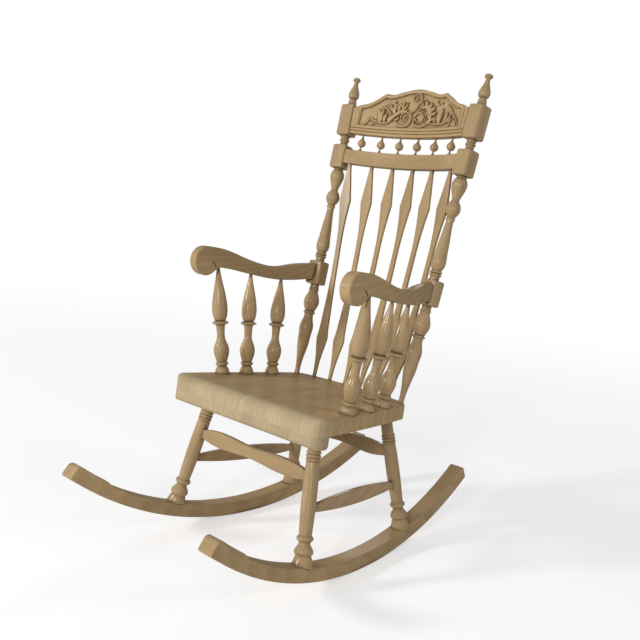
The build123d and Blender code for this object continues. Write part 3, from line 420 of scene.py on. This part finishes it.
def wood_material(name, grain, tone=0.0, polish_and_shade=0.5, varnish=FLAT_VARNISH, paler=None):
    """Satin varnished wood. grain(desk, place) gives coordinates that run along the piece.
    The polish argument says how dark its hollows are painted: painted shade, with some old
    polish.
    varnish is the weight of its clear coat, and paler(desk, place) says where a painted sheen
    makes the colour paler."""
    wood = bpy.context.scene.chair_wood
    material = bpy.data.materials.new(name)
    material.use_nodes = True
    tree = material.node_tree
    desk = NodeDesk(tree)
    shader = tree.nodes["Principled BSDF"]
    place = tree.nodes.new("ShaderNodeTexCoord").outputs["Object"]
    along = grain(desk, place)

    # growth rings: slow wavering bands, long along the grain
    slow = desk.vector("MULTIPLY", along, WAVER_STRETCH)
    waver = desk.noise(slow, scale=14.0, detail=2.0)
    off_centre = desk.vector("MULTIPLY", along, RING_STRETCH)
    distance = desk.vector("LENGTH", off_centre, output=1)
    ring = desk.maths("DIVIDE", distance, wood.ring_width)
    ring = desk.maths("ADD", ring, desk.maths("MULTIPLY", waver, 3.0))
    saw = desk.maths("FRACT", ring)
    rings = desk.maths("MULTIPLY", desk.remap(saw, 0.0, 0.75), desk.remap(saw, 1.0, 0.86))

    # fibres: fine streaks along the grain
    stretched = desk.vector("MULTIPLY", along, FIBRE_STRETCH)
    fibres = desk.noise(stretched, scale=420.0, detail=3.0, rough=0.6)
    streaks = desk.noise(stretched, scale=130.0, detail=4.0, rough=0.6)
    # pores: short dark dashes
    dashes = desk.vector("MULTIPLY", along, PORE_STRETCH)
    pores = desk.remap(desk.noise(dashes, scale=1500.0, detail=1.0, rough=0.5), 0.60, 0.72)
    # broad patches of light and dark
    broad = desk.vector("MULTIPLY", along, PATCH_STRETCH)
    patches = desk.noise(broad, scale=9.0, detail=2.0)

    band = desk.maths("MULTIPLY", rings, RING_SHARE)
    band = desk.maths("ADD", band, desk.maths("MULTIPLY", streaks, STREAK_SHARE))
    band = desk.maths("ADD", band, desk.maths("MULTIPLY", fibres, FIBRE_SHARE))
    band = desk.remap(band, 0.25, 0.88)
    colour = desk.blend(band, (*wood.light, 1), (*wood.dark, 1))
    tint = desk.remap(patches, 0.25, 0.75, 0.86 + tone, 1.12 + tone)
    tinted = desk.add("ShaderNodeCombineColor", Red=tint, Green=tint, Blue=tint)
    colour = desk.blend(1.0, colour, tinted.outputs[0], "MULTIPLY")
    # painted sheen: the seat's front is painted paler and less yellow where the lamps catch it
    if paler:
        painted_front_sheen = desk.blend(1.0, colour, (*wood.painted_front_sheen, 1), "MULTIPLY")
        colour = desk.blend(paler(desk, place), colour, painted_front_sheen)
    colour = desk.blend(desk.maths("MULTIPLY", pores, PORE_SHARE), colour, (*wood.pores, 1))

    # painted shade in the hollows, with some old polish; edges and open faces are not darkened
    quality = {"samples": 6, "only_local": False}
    # painted shade: ambient occlusion darkens the hollows toward the pore colour
    hollow = desk.add("ShaderNodeAmbientOcclusion", quality, Distance=HOLLOW_SHADE_REACH)
    hollow_polish_and_shade = desk.remap(hollow.outputs["AO"], 1.0 - 0.06 * (1 - polish_and_shade), 0.85 - 0.6 * (1 - polish_and_shade))
    colour = desk.blend(desk.maths("MULTIPLY", hollow_polish_and_shade, HOLLOW_SHADE_SHARE), colour, (*wood.pores, 1))

    worn = desk.noise(place, scale=24.0, detail=4.0, rough=0.6)
    gloss = desk.maths("ADD", desk.maths("MULTIPLY", worn, 0.16), wood.roughness - 0.08)
    gloss = desk.maths("ADD", gloss, desk.maths("MULTIPLY", pores, 0.12))
    surface = desk.maths("MULTIPLY", fibres, 0.5)
    surface = desk.maths("ADD", surface, desk.maths("MULTIPLY", pores, -0.9))
    surface = desk.maths("ADD", surface, desk.maths("MULTIPLY", worn, 1.2))
    bump = desk.add("ShaderNodeBump", Strength=0.22, Distance=0.0006, Height=surface)
    desk.put(shader, "Base Color", colour)
    desk.put(shader, "Roughness", gloss)
    desk.put(shader, "Normal", bump.outputs[0])
    shader.inputs["Specular IOR Level"].default_value = 0.0
    shader.inputs["Coat Weight"].default_value = varnish
    shader.inputs["Coat Roughness"].default_value = VARNISH_ROUGHNESS
    return material


def wooden(names, along, tone=0.0, shift=None, polish_and_shade=0.5, varnish=TURNED_VARNISH):
    """Each named node gets its own wood, with the grain along its length."""
    for place, name in enumerate(names):
        steps = zip(HEART_START, HEART_STEP)
        offset = shift or tuple(step * place + start for start, step in steps)
        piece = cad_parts[name]
        varied = tone + TONE_STEP * ((place * 7) % 5 - 2)
        material = wood_material(
            name + "_wood",
            lambda desk, at: straight_grain(desk, at, along, offset),
            tone=varied,
            polish_and_shade=polish_and_shade,
            varnish=varnish,
        )
        for slot in piece.material_slots:
            slot.material = material


def mirrored(direction):
    """The same direction on the chair's other side."""
    return Vector((-direction.x, direction.y, direction.z))


def seat_direction(across, backwards, upwards):
    """A direction measured from the sloping seat."""
    return (across * SIDEWAYS + backwards * SEAT_BACKWARDS + upwards * SEAT_UPWARDS).normalized()


def splayed(outwards, backwards):
    """A leg's direction, from its splay and its rake in degrees."""
    down = cos(radians(max(outwards, backwards)))
    return seat_direction(sin(radians(outwards)), sin(radians(backwards)), -down)


class CHAIR_OT_rockers(bpy.types.Operator):
    """Give the rockers wood whose grain follows their sweep"""

    bl_idname = "rocking_chair.rockers"
    bl_label = "Rockers"

    def execute(self, context):
        for place, name in enumerate(("rocker_left", "rocker_right")):
            shift = (0.04 * place, -ROCKER_HEART + 0.01 * place, 0.4 * place)
            material = wood_material(
                name + "_wood",
                lambda desk, at: bent_grain(desk, at, ROCKING_CENTRE, ROCKING_CENTRE.z, shift),
                tone=0.03,
            )
            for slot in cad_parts[name].material_slots:
                slot.material = material
        return {"FINISHED"}


class CHAIR_OT_legs(bpy.types.Operator):
    """Give the four turned legs their wood"""

    bl_idname = "rocking_chair.legs"
    bl_label = "Legs"

    def execute(self, context):
        front = splayed(FRONT_LEG_SPLAY, FRONT_LEG_RAKE)
        rear = splayed(REAR_LEG_SPLAY, REAR_LEG_RAKE)
        wooden(["front_leg_right"], front)
        wooden(["front_leg_left"], mirrored(front), tone=0.02)
        wooden(["rear_leg_right"], rear)
        wooden(["rear_leg_left"], mirrored(rear), tone=-0.02)
        return {"FINISHED"}


class CHAIR_OT_stretchers(bpy.types.Operator):
    """Give the stretchers their wood"""

    bl_idname = "rocking_chair.stretchers"
    bl_label = "Stretchers"

    def execute(self, context):
        wooden(["front_stretcher", "rear_stretcher"], SIDEWAYS, tone=0.02)
        wooden(["side_stretcher_left", "side_stretcher_right"], SIDE_STRETCHER_GRAIN)
        return {"FINISHED"}


class CHAIR_OT_posts(bpy.types.Operator):
    """Give the back posts their wood"""

    bl_idname = "rocking_chair.posts"
    bl_label = "Back posts"

    def execute(self, context):
        right = (BACK_UPWARDS + POST_SPLAY * SIDEWAYS).normalized()
        wooden(["back_post_right"], right, tone=0.01)
        wooden(["back_post_left"], mirrored(right), tone=0.01)
        return {"FINISHED"}


class CHAIR_OT_back_rails(bpy.types.Operator):
    """Give the crest, the lower rail and the pins their wood"""

    bl_idname = "rocking_chair.back_rails"
    bl_label = "Back rails"

    def execute(self, context):
        # the crest's panel step and carving get a little more painted shade in their hollows
        wooden(["crest_rail"], SIDEWAYS, tone=0.13, polish_and_shade=CREST_POLISH_AND_SHADE, varnish=CREST_VARNISH)
        heart = (0.034, -0.025, 0.31)
        wooden(["lower_back_rail"], SIDEWAYS, tone=0.04, shift=heart, varnish=FLAT_VARNISH)
        wooden(["rail_pins"], BACK_BACKWARDS, tone=-0.1)
        return {"FINISHED"}


class CHAIR_OT_back_spindles(bpy.types.Operator):
    """Give the arrow spindles and the ball spindles their wood"""

    bl_idname = "rocking_chair.back_spindles"
    bl_label = "Back spindles"

    def execute(self, context):
        arrows = [f"back_spindle_{number}" for number in range(1, 7)]
        balls = [f"ball_spindle_{number}" for number in range(1, 7)]
        wooden(arrows, BACK_UPWARDS, varnish=FLAT_VARNISH)
        wooden(balls, BACK_UPWARDS)
        return {"FINISHED"}


class CHAIR_OT_arms(bpy.types.Operator):
    """Give the arms, their spindles and their plugs wood"""

    bl_idname = "rocking_chair.arms"
    bl_label = "Arms"

    def execute(self, context):
        wooden(["arm_left", "arm_right"], ARM_GRAIN, tone=-0.03, varnish=ARM_VARNISH)
        for side in ("left", "right"):
            names = [f"arm_spindle_{side}_{place}" for place in ("front", "middle", "rear")]
            wooden(names, SEAT_UPWARDS, tone=0.02)
        wooden(["arm_screw_plugs"], UP, tone=-0.1)
        return {"FINISHED"}


SEAT_NODES = (
    "seat_board_left_outer",
    "seat_board_left_inner",
    "seat_board_right_inner",
    "seat_board_right_outer",
    "seat_front_strip",
)
SEAT_TONES = (0.13, 0.11, 0.14, 0.13, 0.09)


def seat_front(desk, place):
    """One on the front of the seat, nought on its top: where the painted sheen lies."""
    parts = desk.add("ShaderNodeSeparateXYZ", Vector=place)
    return desk.remap(parts.outputs[1], SEAT_TURN, SEAT_FRONT)


class CHAIR_OT_seat(bpy.types.Operator):
    """Give the seat's boards, strip and dowels their wood"""

    bl_idname = "rocking_chair.seat"
    bl_label = "Seat"

    def execute(self, context):
        for place, name in enumerate(SEAT_NODES):
            shift = (0.05 + 0.37 * (place % 4), 0.004, 0.5 * place)
            material = wood_material(
                name + "_wood",
                lambda desk, at: draped_grain(desk, at, shift),
                tone=SEAT_TONES[place],
                varnish=SEAT_VARNISH,
                # the seat's front gets the painted sheen
                paler=seat_front,
            )
            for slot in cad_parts[name].material_slots:
                slot.material = material
        wooden(["seat_dowels"], SIDEWAYS)
        return {"FINISHED"}


class CHAIR_OT_screws(bpy.types.Operator):
    """Give the arm screws brushed steel"""

    bl_idname = "rocking_chair.screws"
    bl_label = "Arm screws"

    def execute(self, context):
        material = bpy.data.materials.new("screw_steel_brushed")
        material.use_nodes = True
        desk = NodeDesk(material.node_tree)
        shader = material.node_tree.nodes["Principled BSDF"]
        place = material.node_tree.nodes.new("ShaderNodeTexCoord").outputs["Object"]
        drawn = desk.vector("MULTIPLY", place, (1.0, 0.1, 1.0))
        lines = desk.noise(drawn, scale=2400.0, detail=2.0)
        colour = desk.blend(lines, (0.50, 0.49, 0.47, 1), (0.62, 0.61, 0.59, 1))
        desk.put(shader, "Base Color", colour)
        desk.put(shader, "Roughness", desk.remap(lines, 0.2, 0.8, 0.28, 0.45))
        bump = desk.add("ShaderNodeBump", Strength=0.2, Distance=0.0002, Height=lines)
        desk.put(shader, "Normal", bump.outputs[0])
        shader.inputs["Metallic"].default_value = 1.0
        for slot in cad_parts["arm_screws"].material_slots:
            slot.material = material
        return {"FINISHED"}


# ---------------------------------------------------------------- carving
#
# Each stem, leaf and petal is a stroke laid on the sunk panel of the crest:
# its points give the place across, the height above the seat and half the width, in millimetres.

VOLUTE_LEFT = (
    (-58, 716, 2.2), (-50, 705, 2.6), (-38, 697, 3.0), (-24, 695, 3.2), (-11, 700, 3.0),
    (-4, 711, 2.8), (-5, 724, 2.6), (-14, 733, 2.4), (-27, 735, 2.2), (-37, 728, 2.0),
    (-39, 717, 1.8), (-32, 709, 1.7), (-22, 710, 1.6), (-17, 717, 1.6), (-20, 724, 1.6),
    (-26, 725, 1.8), (-28, 720, 2.2),
)
VOLUTE_RIGHT = (
    (58, 709, 2.2), (47, 700, 2.6), (33, 695, 3.0), (18, 696, 3.2), (7, 703, 3.0),
    (2, 714, 2.8), (6, 727, 2.6), (17, 734, 2.4), (29, 731, 2.2), (35, 721, 2.0),
    (32, 710, 1.8), (22, 705, 1.7), (14, 709, 1.8), (10, 715, 2.6),
)
CENTRE_STEM = (
    (-14, 731, 1.6), (-3, 735, 2.4), (6, 744, 2.6), (10, 755, 2.4), (16, 765, 2.3),
    (17, 775, 2.3), (10, 783, 2.3), (-2, 783, 2.1), (-11, 777, 1.9), (-10, 766, 1.8),
    (0, 763, 1.8), (5, 769, 1.8), (1, 774, 2.4),
)
CENTRE_CURL = (
    (12, 756, 1.5), (19, 763, 2.3), (26, 769, 2.5), (33, 766, 2.1), (34, 758, 1.9),
    (28, 755, 1.8),
)
CENTRE_LEAF = (
    (15, 736, 1.2), (18, 745, 2.8), (19, 754, 2.8), (16, 763, 1.0),
)
ACANTHUS_LEFT = (
    (-77, 702, 2.8), (-70, 711, 5.4), (-60, 722, 6.4), (-48, 731, 5.6), (-37, 738, 4.6),
    (-29, 746, 3.8), (-26, 755, 2.6), (-25, 762, 1.3),
)
ACANTHUS_RIGHT = (
    (23, 742, 2.0), (30, 748, 4.6), (41, 747, 6.4), (51, 738, 8.0), (57, 727, 7.4),
    (58, 715, 5.6), (59, 703, 3.4),
)
BASE_LEFT = (
    (-72, 704, 2.6), (-86, 702, 2.8), (-101, 702, 2.6), (-112, 706, 2.2), (-124, 712, 1.9),
    (-134, 716, 1.4),
)
BASE_RIGHT = (
    (62, 703, 2.4), (76, 701, 2.8), (92, 701, 2.8), (108, 703, 2.5), (119, 708, 2.0),
    (127, 706, 1.4),
)
TENDRILS = (
    ((-108, 703, 1.8), (-116, 701, 1.9), (-121, 696, 1.7), (-122, 691, 1.2)),
    ((-126, 713, 1.6), (-132, 708, 2.0), (-136, 700, 1.9), (-143, 693, 1.7), (-151, 691, 1.2)),
    ((118, 707, 1.6), (127, 703, 2.0), (125, 697, 1.9), (122, 692, 1.2)),
    (
        (105, 752, 1.0), (117, 744, 1.8), (127, 733, 2.2), (136, 721, 2.3),
        (146, 711, 2.3), (151, 701, 2.0), (158, 692, 1.2),
    ),
    ((128, 722, 1.0), (138, 713, 1.8), (144, 703, 1.9), (148, 694, 1.2)),
    ((-54, 722, 1.4), (-44, 729, 1.8), (-31, 734, 1.8), (-16, 733, 1.4)),
    ((26, 739, 1.4), (37, 731, 1.8), (42, 719, 1.8), (38, 706, 1.4)),
)
# leaves and petals: where each starts and ends, half its greatest width, and how far it bows
LOBES = (
    (-108, 705, -129, 716, 3.4, 3.0), (-101, 704, -109, 738, 6.8, -4.0),
    (-95, 705, -93, 738, 6.2, 3.0), (-84, 704, -82, 727, 6.0, 3.5),
    (-74, 706, -69, 722, 4.4, 2.5), (-66, 724, -99, 747, 3.2, -3.5),
    (-63, 730, -91, 752, 3.0, -2.0), (-60, 734, -78, 755, 3.6, 2.0),
    (-58, 727, -55, 752, 7.0, 5.0), (-47, 734, -42, 756, 6.0, 4.0),
    (-36, 740, -33, 760, 4.6, 3.5), (-42, 735, -21, 741, 3.8, -3.0),
    (-56, 712, -44, 722, 3.6, -3.0), (23, 743, 23, 760, 4.0, -2.0),
    (31, 744, 37, 762, 5.2, -3.5), (41, 744, 52, 757, 6.4, -4.5),
    (50, 738, 65, 747, 6.4, -4.0), (56, 729, 73, 732, 5.2, -3.0),
    (44, 742, 39, 723, 4.6, 4.0), (50, 736, 48, 716, 5.0, 4.0),
    (57, 717, 47, 703, 5.0, 4.0), (58, 714, 73, 720, 4.4, -3.5),
    (77, 704, 77, 720, 4.4, 3.0), (90, 703, 94, 739, 9.4, 3.5),
    (103, 704, 111, 731, 5.0, -5.0), (110, 705, 124, 723, 4.2, -4.0),
    (116, 706, 131, 715, 3.2, -3.0),
)
# berries: place and radius
BERRIES = (
    (-63, 761, 3.0), (-79, 753, 2.6), (-86, 744, 2.0), (72, 760, 3.0),
    (78, 753, 2.2), (88, 756, 2.8), (-26, 721, 3.4), (10, 714, 4.2),
    (2, 722, 2.8), (81, 727, 2.4), (-71, 745, 2.0),
)
# the bead along the border's top and ends, right half, from the middle down
BORDER = (
    (0, 789.5), (30, 786.5), (50, 782.6), (63, 777.2), (75, 773.6), (86, 774.2),
    (96, 775.8), (103, 772.6), (122, 757.6), (134, 751.0), (146, 745.6), (158, 741.4),
    (165, 735), (166, 726), (166, 710), (165.5, 694),
)
BERRY_SHAPE = ((-0.85, 0.3), (-0.65, 0.85), (0.0, 1.1), (0.65, 0.85), (0.85, 0.3))
LOBE_SHAPE = ((0.0, 0.5), (0.25, 0.9), (0.55, 1.0), (0.8, 0.85), (1.0, 0.4))


def lobe(across, up, tip_across, tip_up, width, bow):
    """A leaf or petal as a stroke, widest past its middle and bowed to its left."""
    reach = Vector((tip_across - across, tip_up - up))
    left = Vector((-reach.y, reach.x)).normalized()
    points = []
    for share, breadth in LOBE_SHAPE:
        place = Vector((across, up)) + share * reach + 4 * share * (1 - share) * bow * left
        points.append((place.x, place.y, width * breadth))
    return points


def berry(across, up, radius):
    """A berry as a short round stroke."""
    return [(across + share * radius, up, breadth * radius) for share, breadth in BERRY_SHAPE]


def draw_strokes(name, strokes, facets):
    """Draw tapered round strokes in one flat mesh, in metres."""
    deselect_all()
    bpy.ops.curve.primitive_bezier_curve_add(location=(0, 0, 0))
    drawing = bpy.context.object
    drawing.name = name
    drawing.data.splines.clear()
    drawing.data.dimensions = "3D"
    drawing.data.bevel_depth = MILLIMETRE
    drawing.data.bevel_resolution = facets
    drawing.data.use_fill_caps = True
    for stroke in strokes:
        first, second = Vector(stroke[0][:2]), Vector(stroke[1][:2])
        last, before = Vector(stroke[-1][:2]), Vector(stroke[-2][:2])
        start = first + (first - second).normalized() * stroke[0][2]
        end = last + (last - before).normalized() * stroke[-1][2]
        points = [(*start, TIP_SHARE * stroke[0][2]), *stroke, (*end, TIP_SHARE * stroke[-1][2])]
        line = drawing.data.splines.new("NURBS")
        line.points.add(len(points) - 1)
        for point, (across, up, width) in zip(line.points, points):
            point.co = (MILLIMETRE * across, MILLIMETRE * up, 0, 1)
            point.radius = width
        line.order_u = 3
        line.use_endpoint_u = True
        line.resolution_u = 6
    select_only(drawing)
    bpy.ops.object.convert(target="MESH")
    return bpy.context.object


def lay_on_panel(thing, base, relief, crown):
    """Bend a flat mesh onto the crest: x across, y up from the seat, z out of the sunk panel."""
    for vertex in thing.data.vertices:
        across, up, lift = vertex.co
        lift = base + relief * lift / (1 + abs(lift) / crown)
        backwards = BOW_CENTRE + (PANEL_RADIUS - lift) * sqrt(1 - (across / PANEL_RADIUS) ** 2)
        sideways = across * (1 - lift / PANEL_RADIUS)
        depth = backwards * BACK_BACKWARDS
        vertex.co = SEAT_ORIGIN + sideways * SIDEWAYS + depth + up * BACK_UPWARDS
    select_only(thing)
    bpy.ops.object.mode_set(mode="EDIT")
    bpy.ops.mesh.select_all(action="SELECT")
    bpy.ops.mesh.remove_doubles(threshold=MERGE_DISTANCE)
    bpy.ops.mesh.normals_make_consistent(inside=False)
    bpy.ops.object.mode_set(mode="OBJECT")
    bpy.ops.object.shade_smooth_by_angle(angle=SMOOTH_ANGLE)


class CHAIR_OT_carving(bpy.types.Operator):
    """Carve the scrolls, leaves, flowers and berries on the crest"""

    bl_idname = "rocking_chair.carving"
    bl_label = "Crest carving"

    def execute(self, context):
        carve = context.scene.chair_carving
        stems = [VOLUTE_LEFT, VOLUTE_RIGHT, CENTRE_STEM, CENTRE_CURL, CENTRE_LEAF]
        stems += [ACANTHUS_LEFT, ACANTHUS_RIGHT, BASE_LEFT, BASE_RIGHT, *TENDRILS]
        leaves = [lobe(*figures) for figures in LOBES]
        berries = [berry(*figures) for figures in BERRIES]
        carving = draw_strokes("crest_carving", stems + leaves + berries, carve.facets)
        lay_on_panel(carving, 0, carve.relief, carve.crown)

        right = [(x, up, carve.bead) for x, up in BORDER]
        left = [(-x, up, width) for x, up, width in reversed(right[1:])]
        bead = draw_strokes("crest_border_bead", [left + right], carve.facets)
        lay_on_panel(bead, carve.sink, carve.bead_relief, carve.crown)

        for thing in (carving, bead):
            thing.data.materials.clear()
            thing.data.materials.append(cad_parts["crest_rail"].material_slots[0].material)
            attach(thing, BODY)
        return {"FINISHED"}


class CHAIR_OT_stage(bpy.types.Operator):
    """Put the floor, the lamps and the camera round the chair"""

    bl_idname = "rocking_chair.stage"
    bl_label = "Studio"

    def execute(self, context):
        stage = context.scene.chair_stage
        deselect_all()
        bpy.ops.mesh.primitive_plane_add(size=stage.floor_size, location=(0, 0, 0))
        floor = context.object
        floor.name = "studio_floor"
        floor.data.materials.append(floor_material(stage))

        lamp("key_lamp", KEY_PLACE, KEY_SIZE, stage.key_power)
        lamp("near_lamp", NEAR_PLACE, NEAR_SIZE, stage.near_power)
        lamp("fill_lamp", FILL_PLACE, FILL_SIZE, stage.fill_power)
        lamp("back_lamp", BACK_PLACE, BACK_SIZE, stage.back_power)

        world = bpy.data.worlds.new("studio")
        context.scene.world = world
        world.use_nodes = True
        desk = NodeDesk(world.node_tree)
        rays = world.node_tree.nodes.new("ShaderNodeLightPath")
        seen = desk.maths("MAXIMUM", rays.outputs["Is Camera Ray"], rays.outputs["Is Glossy Ray"])
        seen = desk.maths("MAXIMUM", seen, rays.outputs["Is Transmission Ray"])
        strength = desk.remap(seen, 0.0, 1.0, stage.sky, 1.0)
        desk.put(world.node_tree.nodes["Background"], "Color", (1, 1, 1, 1))
        desk.put(world.node_tree.nodes["Background"], "Strength", strength)

        bpy.ops.object.camera_add(location=CAMERA_PLACE)
        camera = context.object
        camera.name = "studio_camera"
        above = CAMERA_RIGHT.cross(CAMERA_FORWARD)
        turned = Matrix((CAMERA_RIGHT, above, -CAMERA_FORWARD)).transposed().to_4x4()
        camera.matrix_world = Matrix.Translation(camera.location) @ turned
        camera.data.lens = stage.lens
        camera.data.sensor_width = SENSOR_WIDTH
        camera.data.clip_start = CLIP_START
        context.scene.camera = camera
        context.scene.view_settings.view_transform = "Standard"
        return {"FINISHED"}


def floor_material(stage):
    """A matt floor that takes the chair's shadow and fades to white further off."""
    material = bpy.data.materials.new("studio_floor_matt")
    material.use_nodes = True
    tree = material.node_tree
    desk = NodeDesk(tree)
    shader = tree.nodes["Principled BSDF"]
    place = tree.nodes.new("ShaderNodeTexCoord").outputs["Object"]
    grain = desk.noise(place, scale=60.0, detail=3.0)
    faint = desk.maths("MULTIPLY", grain, 0.02)
    colour = desk.blend(faint, (*stage.floor_colour, 1), (0.8, 0.8, 0.8, 1))
    desk.put(shader, "Base Color", colour)
    shader.inputs["Roughness"].default_value = 0.9
    shader.inputs["Specular IOR Level"].default_value = 0.1
    rays = tree.nodes.new("ShaderNodeLightPath")
    distance = desk.vector("LENGTH", place, output=1)
    share = desk.remap(distance, FADE_START, FADE_END, stage.fade, 1.0)
    level = desk.remap(distance, FADE_START, FADE_END, stage.glow, 1.0)
    strength = desk.maths("DIVIDE", level, share)
    glow = desk.add("ShaderNodeEmission", Color=(1, 1, 1, 1), Strength=strength)
    seen = desk.maths("MAXIMUM", rays.outputs["Is Camera Ray"], rays.outputs["Is Glossy Ray"])
    share = desk.maths("MULTIPLY", share, seen)
    mixed = desk.add("ShaderNodeMixShader")
    desk.put(mixed, 0, share)
    desk.put(mixed, 1, shader.outputs[0])
    desk.put(mixed, 2, glow.outputs[0])
    tree.links.new(mixed.outputs[0], tree.nodes["Material Output"].inputs["Surface"])
    return material


def lamp(name, place, size, power):
    """A round soft lamp that faces the chair."""
    bpy.ops.object.light_add(type="AREA", location=place)
    light = bpy.context.object
    light.name = name
    light.data.shape = "DISK"
    light.data.size = size
    light.data.energy = power
    light.rotation_euler = (LAMP_TARGET - place).to_track_quat("-Z", "Y").to_euler()


class CHAIR_PT_panel(bpy.types.Panel):
    """Buttons for each part of the chair"""

    bl_label = "Rocking Chair"
    bl_idname = "CHAIR_PT_panel"
    bl_space_type = "VIEW_3D"
    bl_region_type = "UI"
    bl_category = "Rocking Chair"

    def draw(self, context):
        for group_name, settings in SETTINGS:
            group = getattr(context.scene, group_name)
            for name in settings.__annotations__:
                self.layout.prop(group, name)
        for operator in OPERATORS:
            self.layout.operator(operator.bl_idname)


SETTINGS = (
    ("chair_wood", ChairWoodSettings),
    ("chair_carving", ChairCarvingSettings),
    ("chair_stage", ChairStageSettings),
)
OPERATORS = (
    CHAIR_OT_rockers,
    CHAIR_OT_legs,
    CHAIR_OT_stretchers,
    CHAIR_OT_seat,
    CHAIR_OT_posts,
    CHAIR_OT_back_rails,
    CHAIR_OT_back_spindles,
    CHAIR_OT_arms,
    CHAIR_OT_screws,
    CHAIR_OT_carving,
    CHAIR_OT_stage,
)


def register():
    for name, settings in SETTINGS:
        bpy.utils.register_class(settings)
        setattr(bpy.types.Scene, name, bpy.props.PointerProperty(type=settings))
    for operator in OPERATORS:
        bpy.utils.register_class(operator)
    bpy.utils.register_class(CHAIR_PT_panel)


def unregister():
    bpy.utils.unregister_class(CHAIR_PT_panel)
    for operator in reversed(OPERATORS):
        bpy.utils.unregister_class(operator)
    for name, settings in reversed(SETTINGS):
        delattr(bpy.types.Scene, name)
        bpy.utils.unregister_class(settings)


def main():
    register()
    for name in (
        "rockers",
        "legs",
        "stretchers",
        "seat",
        "posts",
        "back_rails",
        "back_spindles",
        "arms",
        "screws",
        "carving",
        "stage",
    ):
        getattr(bpy.ops.rocking_chair, name)()


if __name__ == "__main__":
    main()
